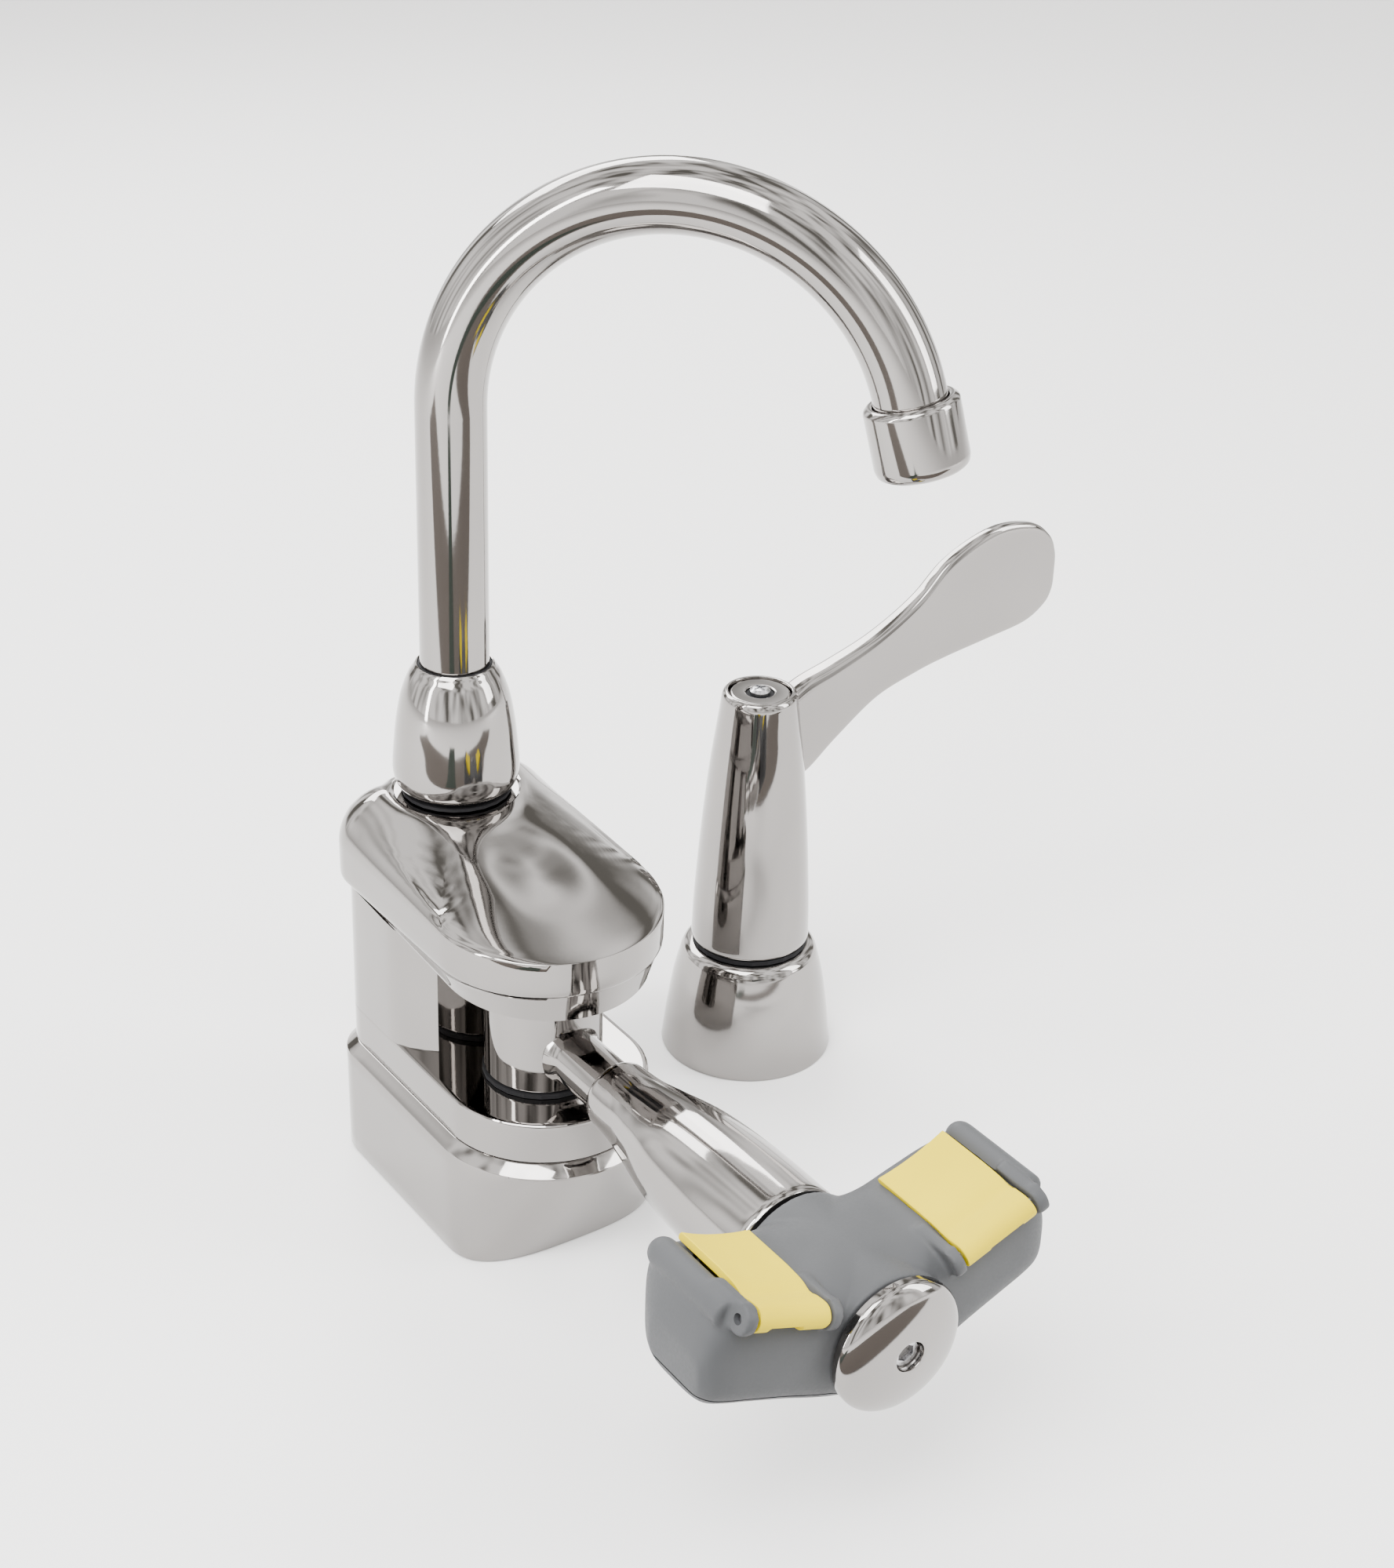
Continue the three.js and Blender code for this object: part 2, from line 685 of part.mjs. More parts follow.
function leverHandle() {
  const outside = hubProfile.getPoints(8).map((p) => [p.x, p.y]);
  const hub = turned(
    [
      [6.3, HUB_BASE_Z],
      ...outside,
      [10.3, LEVER_TOP],
      [9.5, LEVER_TOP],
      [9.5, 118],
      [2.6, 118],
      [2.6, 112],
      [6.3, 112],
      [6.3, HUB_BASE_Z],
    ],
    30,
  );
  const blade = loft(bladeStations.map((s) => section(s.x, 0, s.bottom, s.top, s.thick / 2, 4, 12)));
  return join(hub, cut(blade, bar(9.6, 80, 130)));
}

function handleCapScrew() {
  const outline = [[0, 100], [2, 100], [2, 120.5], [3.1, 120.5], [3.1, 121.4], [2.2, 122.1], [0, 122.3]];
  const body = turned(outline, 24);
  const slots = [0, 90].map((angle) =>
    new THREE.BoxGeometry(4.2, 0.9, 2).translate(0, 0, 122.5).rotateZ(angle * DEG),
  );
  return cut(body, ...slots);
}

addMesh("escutcheon", escutcheon(), chrome(), handle);
addMesh("escutcheon_gasket", ringBar(21.6, 14, GAP, 2.2), rubber(), handle);
addMesh("valve_bonnet", ringBar(13.2, 6.3, GAP, 33.4), brass(), handle);
addMesh("valve_stem", cut(bar(5.8, 6, 111.4), bar(2.3, 98, 114, 20)), brass(), handle);
addMesh("handle_seal", ringBar(17.9, 13.6, BELL_TOP + 0.2, HUB_BASE_Z - 0.2), rubber(), handle);
addMesh("lever_handle", leverHandle(), chrome(), handle);
const capOutline = [
  [2.6, 118.3],
  [9.2, 118.3],
  [9.2, 120.4],
  [8.7, 120.9],
  [4.5, 120.9],
  [4.5, 119.4],
  [2.6, 119.4],
  [2.6, 118.3],
];
addMesh("handle_cap", turned(capOutline), chrome(), handle);
addMesh("handle_cap_washer", ringBar(4.2, 2.3, 119.6, 120.3, 24), rubber(), handle);
addMesh("handle_cap_screw", handleCapScrew(), steel(), handle);

export default root;
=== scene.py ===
import json
import math

import bmesh
import bpy
from mathutils import Matrix, Vector


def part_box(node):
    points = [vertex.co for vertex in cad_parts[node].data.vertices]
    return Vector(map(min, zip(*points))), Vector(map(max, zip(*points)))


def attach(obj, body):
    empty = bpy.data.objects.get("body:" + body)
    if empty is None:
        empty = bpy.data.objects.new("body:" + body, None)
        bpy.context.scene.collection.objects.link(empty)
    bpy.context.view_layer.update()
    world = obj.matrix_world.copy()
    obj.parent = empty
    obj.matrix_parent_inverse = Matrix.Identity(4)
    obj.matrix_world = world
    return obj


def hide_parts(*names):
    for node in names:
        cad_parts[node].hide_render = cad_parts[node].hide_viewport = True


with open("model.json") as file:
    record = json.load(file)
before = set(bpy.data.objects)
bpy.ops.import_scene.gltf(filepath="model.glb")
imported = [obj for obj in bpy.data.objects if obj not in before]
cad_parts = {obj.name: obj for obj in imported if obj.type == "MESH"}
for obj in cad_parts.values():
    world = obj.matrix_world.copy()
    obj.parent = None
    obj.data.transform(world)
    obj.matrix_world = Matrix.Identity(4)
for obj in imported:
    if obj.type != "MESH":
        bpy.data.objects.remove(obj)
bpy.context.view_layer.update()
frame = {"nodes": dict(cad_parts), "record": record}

MM = 0.001
DEG = math.pi / 180


# ---- places, from the frame ----
def joint(name):
    return next(j for j in frame["record"]["behaviour"]["joints"] if j["name"] == name)


def low_corner(node):
    return Vector(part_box(node)[0])


def high_corner(node):
    return Vector(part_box(node)[1])


def middle(node):
    return (low_corner(node) + high_corner(node)) / 2


def half_width(node):
    """Half the node's size along X, in mm."""
    return (high_corner(node) - low_corner(node)).x / 2 / MM


def top_of(node):
    return high_corner(node).z / MM


def bottom_of(node):
    return low_corner(node).z / MM


RISER = Vector((0, 0, 0))
PIVOT = Vector(joint("arm_swing")["pos_m"])
PIVOT_Y = PIVOT.y / MM
HANDLE = Vector(joint("handle_turn")["pos_m"])
HANDLE.z = 0
SPOUT_SWING = math.atan2(middle("aerator_housing").x, -middle("aerator_housing").y)
AERATOR_TILT = 165.6 * DEG
HEAD_TILT = 20 * DEG


# ---- materials ----
def new_material(name):
    material = bpy.data.materials.new(name)
    material.use_nodes = True
    nodes = material.node_tree.nodes
    return material, nodes, material.node_tree.links, nodes["Principled BSDF"]


def add_node(nodes, kind, **inputs):
    node = nodes.new(kind)
    for key, value in inputs.items():
        node.inputs[key].default_value = value
    return node


def ramp(nodes, links, source, stops):
    """The colour output of a two-stop ramp over a node's output."""
    node = nodes.new("ShaderNodeValToRGB")
    for element, (position, colour) in zip(node.color_ramp.elements, stops):
        element.position = position
        element.color = colour
    links.new(source, node.inputs["Fac"])
    return node.outputs["Color"]


def noise(nodes, links, place, scale, detail):
    node = add_node(nodes, "ShaderNodeTexNoise", Scale=scale, Detail=detail)
    links.new(place, node.inputs["Vector"])
    return node.outputs["Fac"]


def relief(nodes, links, source, shader, strength, distance):
    node = add_node(nodes, "ShaderNodeBump", Strength=strength, Distance=distance)
    links.new(source, node.inputs["Height"])
    links.new(node.outputs["Normal"], shader.inputs["Normal"])


def opaque(red, green, blue):
    return (red, green, blue, 1)


def grey(value):
    return opaque(value, value, value)


def metal(name, dark, light, rough_low, rough_high, bump, scale):
    """Metal whose tone and polish vary a little over the surface, with faint polishing marks."""
    material, nodes, links, shader = new_material(name)
    place = nodes.new("ShaderNodeTexCoord").outputs["Object"]
    cloud = noise(nodes, links, place, scale, 3.0)
    tone = ramp(nodes, links, cloud, [(0.3, dark), (0.7, light)])
    links.new(tone, shader.inputs["Base Color"])
    polish = ramp(nodes, links, cloud, [(0.35, grey(rough_low)), (0.65, grey(rough_high))])
    links.new(polish, shader.inputs["Roughness"])
    marks = noise(nodes, links, place, scale * 30, 4.0)
    relief(nodes, links, marks, shader, bump, 0.0002)
    shader.inputs["Metallic"].default_value = 1.0
    return material


def plastic(name, dark, light, rough, bump, speck_scale):
    """Moulded plastic: fine spark-eroded grain in the relief and a slight cloud in the colour."""
    material, nodes, links, shader = new_material(name)
    place = nodes.new("ShaderNodeTexCoord").outputs["Object"]
    cloud = noise(nodes, links, place, 35.0, 2.0)
    tone = ramp(nodes, links, cloud, [(0.3, dark), (0.7, light)])
    links.new(tone, shader.inputs["Base Color"])
    grain = noise(nodes, links, place, speck_scale, 2.0)
    gloss = ramp(nodes, links, grain, [(0.3, grey(rough - 0.06)), (0.7, grey(rough + 0.06))])
    links.new(gloss, shader.inputs["Roughness"])
    relief(nodes, links, grain, shader, bump, 0.0001)
    shader.inputs["Specular IOR Level"].default_value = 0.12
    return material


LOOKS = {
    "polished_chrome": metal(
        "polished chrome",
        opaque(0.255, 0.243, 0.234),
        opaque(0.285, 0.273, 0.263),
        rough_low=0.045,
        rough_high=0.085,
        bump=0.02,
        scale=14,
    ),
    "stainless_steel": metal(
        "stainless steel",
        opaque(0.42, 0.42, 0.43),
        opaque(0.55, 0.55, 0.56),
        rough_low=0.2,
        rough_high=0.32,
        bump=0.1,
        scale=60,
    ),
    "bare_brass": metal(
        "bare brass",
        opaque(0.5, 0.36, 0.14),
        opaque(0.66, 0.5, 0.22),
        rough_low=0.25,
        rough_high=0.4,
        bump=0.1,
        scale=40,
    ),
    "grey_plastic": plastic(
        "grey plastic",
        opaque(0.062, 0.064, 0.067),
        opaque(0.075, 0.077, 0.08),
        rough=0.5,
        bump=0.12,
        speck_scale=1400,
    ),
    "yellow_plastic": plastic(
        "yellow plastic",
        opaque(0.6, 0.46, 0.0),
        opaque(0.67, 0.52, 0.0),
        rough=0.6,
        bump=0.18,
        speck_scale=1600,
    ),
    "black_rubber": plastic(
        "black rubber",
        opaque(0.008, 0.008, 0.009),
        opaque(0.016, 0.016, 0.017),
        rough=0.65,
        bump=0.2,
        speck_scale=900,
    ),
}
SLOT_OF = {part["node"]: part["material_slot"] for part in frame["record"]["subparts"]}
for node_name, node_object in frame["nodes"].items():
    node_object.data.materials.clear()
    node_object.data.materials.append(LOOKS[SLOT_OF[node_name]])

BODIES = frame["record"]["behaviour"]["bodies"]
BODY_OF = {node: body for body, nodes in BODIES.items() for node in nodes}


# ---- mesh helpers ----
def mesh_from(name, bm):
    mesh = bpy.data.meshes.new(name)
    bm.to_mesh(mesh)
    bm.free()
    return mesh


def linked(name, data):
    """A new object in the scene."""
    item = bpy.data.objects.new(name, data)
    bpy.context.collection.objects.link(item)
    return item


def stand_for(piece, node, sharp):
    """Shades a piece that replaces a CAD node, and gives it that node's finish and body."""
    piece.data.shade_smooth()
    piece.data.set_sharp_from_angle(angle=sharp * DEG)
    piece.data.materials.clear()
    piece.data.materials.append(LOOKS[SLOT_OF[node]])
    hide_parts(node)
    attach(piece, BODY_OF[node])


def finish_piece(name, bm, node, sharp):
    """Turns a bmesh into the piece that stands for a CAD node."""
    bmesh.ops.remove_doubles(bm, verts=bm.verts, dist=1e-6)
    bmesh.ops.recalc_face_normals(bm, faces=bm.faces)
    stand_for(linked(name, mesh_from(name, bm)), node, sharp)


def skin(bm, rings):
    """Joins closed rings of equal point counts with quads, and caps both ends."""
    layers = [[bm.verts.new(point) for point in ring] for ring in rings]
    count = len(layers[0])
    for lower, upper in zip(layers, layers[1:]):
        for i in range(count):
            j = (i + 1) % count
            bm.faces.new((lower[i], lower[j], upper[j], upper[i]))
    bm.faces.new(layers[0][::-1])
    bm.faces.new(layers[-1])


def curve_through(points, steps):
    """A Catmull-Rom curve through the points."""
    points = [Vector(point) for point in points]
    points = [2 * points[0] - points[1], *points, 2 * points[-1] - points[-2]]
    made = []
    for i in range(1, len(points) - 2):
        p0, p1, p2, p3 = points[i - 1 : i + 3]
        slope = p2 - p0
        bend = 2 * p0 - 5 * p1 + 4 * p2 - p3
        twist = 3 * p1 - p0 - 3 * p2 + p3
        for k in range(steps):
            t = k / steps
            made.append(0.5 * (2 * p1 + slope * t + bend * t**2 + twist * t**3))
    made.append(points[-2])
    return made


def angles(count):
    """Evenly spaced angles round a full turn."""
    return [2 * math.pi * i / count for i in range(count)]


def turned(bm, profile, matrix, segments):
    """A closed body of revolution about +Z, from a loop of (radius, height) pairs in mm."""
    rings = []
    for radius, height in profile:
        ring = []
        for angle in angles(segments):
            point = Vector((radius * math.cos(angle), radius * math.sin(angle), height)) * MM
            ring.append(matrix @ point)
        rings.append(ring)
    skin(bm, rings)


def rounded(corners, radius):
    """Replaces each corner of a 2-D polyline by a short arc-like curve. The end points stay."""
    steps = 5
    points = [Vector(corner) for corner in corners]
    made = [points[0]]
    for before, corner, after in zip(points, points[1:], points[2:]):
        reach = min(radius, 0.45 * (corner - before).length, 0.45 * (after - corner).length)
        a = corner + (before - corner).normalized() * reach
        b = corner + (after - corner).normalized() * reach
        for k in range(steps + 1):
            t = k / steps
            made.append((1 - t) ** 2 * a + 2 * t * (1 - t) * corner + t**2 * b)
    made.append(points[-1])
    return [tuple(point) for point in made]


def at(place):
    return Matrix.Translation(place)


# ---- body plan, in mm ----
BASE_HALF = half_width("base_skirt")
TIER_HALF = half_width("body_casting")
REAR_Y = high_corner("base_skirt").y / MM
REAR_RADIUS = 15
# Half width, reach in front of the pivot and nose power of each outline.
BASE = (BASE_HALF, PIVOT_Y - low_corner("base_skirt").y / MM, 2.0)
FOOT = (BASE_HALF - 0.2, BASE[1] - 15, 2.9)
TIER = (TIER_HALF, PIVOT_Y - low_corner("body_casting").y / MM, 2.0)
NOSE_STEPS = 72
CORNER_STEPS = 14
SIDE_STEPS = 10


def plan(outline, inset, height):
    """D outline: a super-elliptic nose about the pivot, straight sides, round rear corners."""
    half, nose, power = outline
    a = half - inset
    b = nose - inset
    flat = []
    for i in range(NOSE_STEPS + 1):
        angle = math.pi * (1 + i / NOSE_STEPS)
        c = math.cos(angle)
        s = abs(math.sin(angle))
        x = a * math.copysign(abs(c) ** (2 / power), c)
        flat.append((x, PIVOT_Y - b * s ** (2 / power)))
    radius = max(REAR_RADIUS - inset, 2)
    corner_y = REAR_Y - inset - radius
    for i in range(1, SIDE_STEPS):
        flat.append((a, PIVOT_Y + (corner_y - PIVOT_Y) * i / SIDE_STEPS))
    for side in (0, 1):
        centre_x = -(a - radius) if side else a - radius
        for i in range(CORNER_STEPS + 1):
            angle = (side + i / CORNER_STEPS) * math.pi / 2
            flat.append((centre_x + radius * math.cos(angle), corner_y + radius * math.sin(angle)))
    for i in range(SIDE_STEPS - 1, 0, -1):
        flat.append((-a, PIVOT_Y + (corner_y - PIVOT_Y) * i / SIDE_STEPS))
    return [Vector((x, y, height(x, y))) * MM for x, y in flat]


def level(z):
    return lambda x, y: z


def level_plans(outline, insets_and_levels):
    return [plan(outline, inset, level(z)) for inset, z in insets_and_levels]


def between(first, second, t):
    """A ring part of the way from one ring to another."""
    return [a.lerp(b, t) for a, b in zip(first, second)]


# ---- base and column ----
SKIRT_HEIGHT = top_of("base_skirt")
CHAMFER = 2.8
LEDGE = 48.7
LIP_FRONT = 81.1
LIP_SLOPE = 0.075
COLUMN_FRONT_Y = -29.9
COLUMN_FRONT_HALF = 23.5
COLUMN_SIDE_Y = -14


def base_skirt():
    foot = 1.3
    wall_top = SKIRT_HEIGHT - CHAMFER
    rings = level_plans(FOOT, [(3.2, 3), (3.2, 0.3), (1.4, 0), (0.4, 0.35), (0, foot)])
    for k in range(1, 9):
        z = foot + (wall_top - 1.8) * k / 8
        rings.append(between(plan(FOOT, 0, level(z)), plan(BASE, 0, level(z)), k / 8))
    rings += level_plans(BASE, [(0.12, wall_top - 0.12), (0.4, wall_top + 0.1)])
    rings += level_plans(BASE, [(3.0, SKIRT_HEIGHT - 0.25), (3.4, SKIRT_HEIGHT - 0.05)])
    rings += level_plans(BASE, [(4.2, SKIRT_HEIGHT), (9, SKIRT_HEIGHT)])
    bm = bmesh.new()
    skin(bm, rings)
    finish_piece("skirt_shell", bm, "base_skirt", 24)


def lip_height(x, y):
    """Height of the hood's lower lip, which rises a little towards the rear."""
    return LIP_FRONT + LIP_SLOPE * (y - PIVOT_Y + BASE[1])


def column_ring(inset, height):
    """The tier's rear outline, tapering in to a flat front face with softened corners."""
    ring = []
    for p in plan(TIER, inset, level(0)):
        x, y = p.x / MM, p.y / MM
        forward = min(max((COLUMN_SIDE_Y - y) / (COLUMN_SIDE_Y - COLUMN_FRONT_Y), 0), 1)
        limit = TIER_HALF + (COLUMN_FRONT_HALF - TIER_HALF) * forward**1.4 - inset
        x = x / (TIER_HALF - inset) * limit
        y = max(y, COLUMN_FRONT_Y)
        ring.append(Vector((x, y, height(x, y))) * MM)
    return ring


def body_casting():
    bm = bmesh.new()
    start = SKIRT_HEIGHT + 0.05
    rings = level_plans(TIER, [(3, start), (0.3, start), (0, start + 0.4), (0, start + 1.2)])
    rings += level_plans(TIER, [(0, LEDGE - 1.6), (0, LEDGE - 0.8), (0.12, LEDGE - 0.4)])
    rings += level_plans(TIER, [(0.4, LEDGE - 0.12), (0.8, LEDGE), (1.6, LEDGE), (6, LEDGE)])
    skin(bm, rings)
    column = [column_ring(0, level(LEDGE + rise)) for rise in (-0.5, 4, 14, 26)]
    column.append(column_ring(0, lambda x, y: lip_height(x, y) - 0.3))
    skin(bm, column)
    finish_piece("chassis_casting", bm, "body_casting", 28)


# ---- hood ----
RIM_BOTTOM = 91
RIM_TOP = 101
ARCH_REACH = 32
ARCH_POWER = 1.9
ARCH_STEPS = 34
MOAT_POWER = 7
CROWN_AT_RISER = 118.6
CROWN_SLOPE = 0.215
HOLLOW_DEPTH = 1.6
HOLLOW_HALF = 15
HOLLOW_START = 16
HOLLOW_LENGTH = 50
SEAT_R = 17.9


def crown(x, y, rim):
    """Top of the hood: an arch over the distance in from its rim, falling towards the front."""
    inward = min(math.hypot(p.x / MM - x, p.y / MM - y) for p in rim)
    outside = max(1 - inward / ARCH_REACH, 0)
    along = min(max((-y - HOLLOW_START) / HOLLOW_LENGTH, 0), 1)
    across = max(1 - (x / HOLLOW_HALF) ** 2, 0)
    hollow = HOLLOW_DEPTH * math.sin(math.pi * along) ** 2 * across**2
    ridge = CROWN_AT_RISER + CROWN_SLOPE * y
    return RIM_TOP + (ridge - RIM_TOP) * math.sqrt(1 - outside**2) - hollow


def hood_cover():
    rings = [plan(TIER, 2.2, lambda x, y: lip_height(x, y) + 0.2), plan(TIER, 0.7, lip_height)]
    rings.append(plan(TIER, 0.15, lambda x, y: lip_height(x, y) + 0.3))
    lip = plan(TIER, 0, lambda x, y: lip_height(x, y) + 0.9)
    flare = plan(BASE, 0.9, level(RIM_BOTTOM - 0.5))
    rings += [between(lip, flare, t) for t in (0, 0.25, 0.5, 0.75, 1)]
    rings += level_plans(BASE, [(0.45, RIM_BOTTOM - 0.15), (0.12, RIM_BOTTOM + 0.5)])
    rings += level_plans(BASE, [(0, RIM_BOTTOM + 1.6), (0, RIM_BOTTOM + 5)])
    rings += level_plans(BASE, [(0, RIM_TOP - 2), (0, RIM_TOP)])
    rim = rings[-1]
    seat_z = bottom_of("collar_base_seal") - 0.1
    for i in range(1, ARCH_STEPS + 1):
        t = (i / ARCH_STEPS) ** ARCH_POWER
        moat = t**MOAT_POWER
        ring = []
        for p in rim:
            angle = math.atan2(p.y, p.x)
            x = p.x / MM * (1 - t) + SEAT_R * math.cos(angle) * t
            y = p.y / MM * (1 - t) + SEAT_R * math.sin(angle) * t
            z = crown(x, y, rim) * (1 - moat) + seat_z * moat
            ring.append(Vector((x, y, z)) * MM)
        rings.append(ring)
    for shrink in (0.97, 0.6):
        floor_z = (seat_z - 0.4) * MM
        rings.append([Vector((p.x * shrink, p.y * shrink, floor_z)) for p in rings[-1]])
    bm = bmesh.new()
    skin(bm, rings)
    finish_piece("hood_shell", bm, "hood_cover", 35)


# ---- spout ----
def collar():
    base = bottom_of("collar")
    top = top_of("collar")
    span = (top - base) / 37.4
    shape = [(15.2, 0.6), (16.6, 2.0), (17.4, 4.4), (17.6, 7.5), (17.2, 13.0)]
    shape += [(16.4, 20.5), (15.0, 28.0), (13.0, 33.6), (11.3, 36.4)]
    profile = [(13, base + 0.3), (14.6, base + 0.1)]
    profile += [(p.x, base + p.y * span) for p in curve_through(shape, 6)]
    profile += [(10.9, top - 0.25), (10.6, top), (10.3, top - 0.1), (10.2, top - 0.7)]
    profile += [(9.8, top - 1.2), (9.8, top - 8)]
    bm = bmesh.new()
    turned(bm, profile, at(RISER), 128)
    finish_piece("collar_nut", bm, "collar", 40)


RISER_R = 9.525
BEND_LEVEL = 226.2
BEND_R = top_of("gooseneck") - RISER_R - BEND_LEVEL
BEND_STEPS = 72
RISE_STEPS = 12
TUBE_END = 4.6


def on_bend(angle):
    """The tube's middle once the bend has turned through an angle, before the spout's swing."""
    return Vector((0, -BEND_R * (1 - math.cos(angle)), BEND_LEVEL + BEND_R * math.sin(angle)))


def gooseneck():
    """Tube swept up the riser, round the bend and down to the aerator."""
    start = bottom_of("gooseneck")
    rise = BEND_LEVEL - start
    places = [(Vector((0, 0, start + rise * k / RISE_STEPS)), 0.0) for k in range(RISE_STEPS)]
    for k in range(BEND_STEPS + 1):
        angle = AERATOR_TILT * k / BEND_STEPS
        places.append((on_bend(angle), angle))
    last, angle = places[-1]
    onward = Vector((0, -math.sin(angle), math.cos(angle)))
    places.append((last + onward * TUBE_END, angle))
    swing = Matrix.Rotation(SPOUT_SWING, 4, "Z")
    across = Vector((1, 0, 0))
    rings = []
    for place, angle in places:
        outward = Vector((0, -math.cos(angle), -math.sin(angle)))
        ring = []
        for around in angles(64):
            spoke = across * math.cos(around) + outward * math.sin(around)
            ring.append(swing @ ((place + spoke * RISER_R) * MM))
        rings.append(ring)
    bm = bmesh.new()
    skin(bm, rings)
    finish_piece("spout_tube", bm, "gooseneck", 50)


def aerator_housing():
    swing = Matrix.Rotation(SPOUT_SWING, 4, "Z")
    tilt = Matrix.Rotation(AERATOR_TILT, 4, "X")
    corners = [(9.7, 4), (9.7, 0.3), (11.0, 0.0), (12.4, 1.3), (12.4, 16.4)]
    corners += [(11.9, 18.2), (10.6, 19.0), (9.9, 18.7), (9.9, 15.6)]
    bm = bmesh.new()
    turned(bm, rounded(corners, 0.7), swing @ at(on_bend(AERATOR_TILT) * MM) @ tilt, 112)
    finish_piece("aerator_shell", bm, "aerator_housing", 30)


# ---- swing arm ----
def ahead_of_pivot(corner):
    """How far a corner of a box lies in front of the pivot, in mm."""
    return (PIVOT.y - corner.y) / MM


def forwards():
    """Puts a body made about +Z along -Y, from the pivot at the arm's height."""
    place = Vector((PIVOT.x, PIVOT.y, middle("arm_tube").z))
    return at(place) @ Matrix.Rotation(math.pi / 2, 4, "X")


def pivot_hub():
    low = bottom_of("pivot_hub")
    high = top_of("pivot_hub")
    r = half_width("pivot_hub")
    corners = [(8, low + 0.1), (r - 0.2, low + 0.1), (r, low + 0.5)]
    corners += [(r, high - 0.8), (r - 0.8, high), (8, high)]
    bm = bmesh.new()
    turned(bm, rounded(corners, 0.5), at(Vector((PIVOT.x, PIVOT.y, 0))), 112)
    finish_piece("pivot_post", bm, "pivot_hub", 30)


def arm_tube():
    start = 14.5
    end = ahead_of_pivot(low_corner("arm_tube"))
    profile = [(5.4, start), (9.0, start), (8.6, start + 1.0), (8.1, start + 2.2)]
    profile += [(7.8, start + 3.6), (7.7, start + 5), (7.7, end - 0.2), (5.4, end)]
    bm = bmesh.new()
    turned(bm, profile, forwards(), 72)
    finish_piece("arm_pipe", bm, "arm_tube", 40)


def arm_sleeve():
    first = ahead_of_pivot(high_corner("arm_sleeve"))
    last = ahead_of_pivot(low_corner("arm_sleeve"))
    shape = [(9.8, 1.0), (10.6, 11.0), (12.4, 20.6), (15.0, 34.0), (16.3, 49.0), (16.7, 63.0)]
    shape.append((16.7, 76.5))
    profile = [(7.9, first + 1.5), (8.0, first + 0.2), (8.6, first), (9.4, first + 0.2)]
    profile += [(p.x, first + p.y) for p in curve_through(shape, 8)]
    profile += [(16.6, last - 0.5), (16.3, last - 0.1), (15.6, last), (12, last)]
    bm = bmesh.new()
    turned(bm, profile, forwards(), 128)
    finish_piece("arm_sleeve_shell", bm, "arm_sleeve", 40)


def end_cap():
    start = ahead_of_pivot(high_corner("end_cap"))
    tip = ahead_of_pivot(low_corner("end_cap"))
    radius = half_width("end_cap")
    edge = start + 2.2
    hole = 4.4
    steps = 26
    profile = [(4, start), (radius - 1.2, start), (radius - 0.4, start + 0.3)]
    profile += [(radius, start + 0.9), (radius, edge)]
    for k in range(1, steps + 1):
        angle = k / steps * math.acos(hole / radius)
        profile.append((radius * math.cos(angle), edge + (tip + 0.2 - edge) * math.sin(angle)))
    rim = profile[-1][1]
    profile += [(hole - 0.35, rim - 0.1), (hole - 0.5, rim - 0.5), (hole - 0.5, start + 4.2)]
    bm = bmesh.new()
    turned(bm, profile, forwards(), 128)
    finish_piece("cap_dome", bm, "end_cap", 32)


def hexagon_reach(angle):
    """Distance to the side of a hexagon a little larger than the unit circle's inscribed one."""
    sector = (angle + math.pi / 6) % (math.pi / 3) - math.pi / 6
    return math.cos(math.pi / 6) / math.cos(sector) * 1.12


def end_cap_screw():
    """Button socket screw sunk in the end cap, with a six-sided socket."""
    start = ahead_of_pivot(high_corner("end_cap_screw"))
    head = start + 2.3
    matrix = forwards()
    rounds = [(3.8, start), (3.8, head - 0.5), (3.4, head), (2.7, head)]
    socket = [(2.2, head), (2.1, head - 0.3), (2.0, head - 1.5)]
    rings = []
    for radius, height in rounds + socket:
        ring = []
        for angle in angles(48):
            r = radius * (1 if (radius, height) in rounds else hexagon_reach(angle))
            ring.append(matrix @ (Vector((r * math.cos(angle), r * math.sin(angle), height)) * MM))
        rings.append(ring)
    bm = bmesh.new()
    skin(bm, rings)
    finish_piece("cap_socket_screw", bm, "end_cap_screw", 25)


# ---- grey and yellow mouldings, in mm ----
HEAD_MID = (low_corner("head_pan").y + high_corner("head_pan").y) / 2 / MM
HEAD_FRONT = low_corner("head_pan").y / MM - 1.6
HEAD_POWER = 3.6
PAN_HEIGHT = 5.5
SEAM_GAP = 0.25
SEAM_REACH = 40
WATERWAY_R = 17.4
SEAT_LIFT = 1.3
RIDGE_R = 3.9
EAR_R = 3.9
COVER_HALF = 10.5
COVER_LENGTH = 30.8
BARREL_R = 3.3
# Distance along X, middle along Y, underside, top and half depth of the head.
HEAD_HALF = [
    (0, HEAD_MID, 43.4, 78.4, 19.6),
    (9, HEAD_MID, 43.6, 78.2, 19.6),
    (17, HEAD_MID, 45.8, 78.4, 19.2),
    (27, HEAD_MID, 49.8, 81.4, 18.8),
    (37, HEAD_MID, 53.2, 84.4, 18.2),
    (44, HEAD_MID - 0.8, 55.6, 85.8, 16.8),
    (48, HEAD_MID - 2.4, 57.6, 81, 13.8),
    (50.4, HEAD_MID - 3.8, 60.6, 73, 10),
]
HEAD_LINE = [(-x, *rest) for x, *rest in HEAD_HALF[:0:-1]] + HEAD_HALF


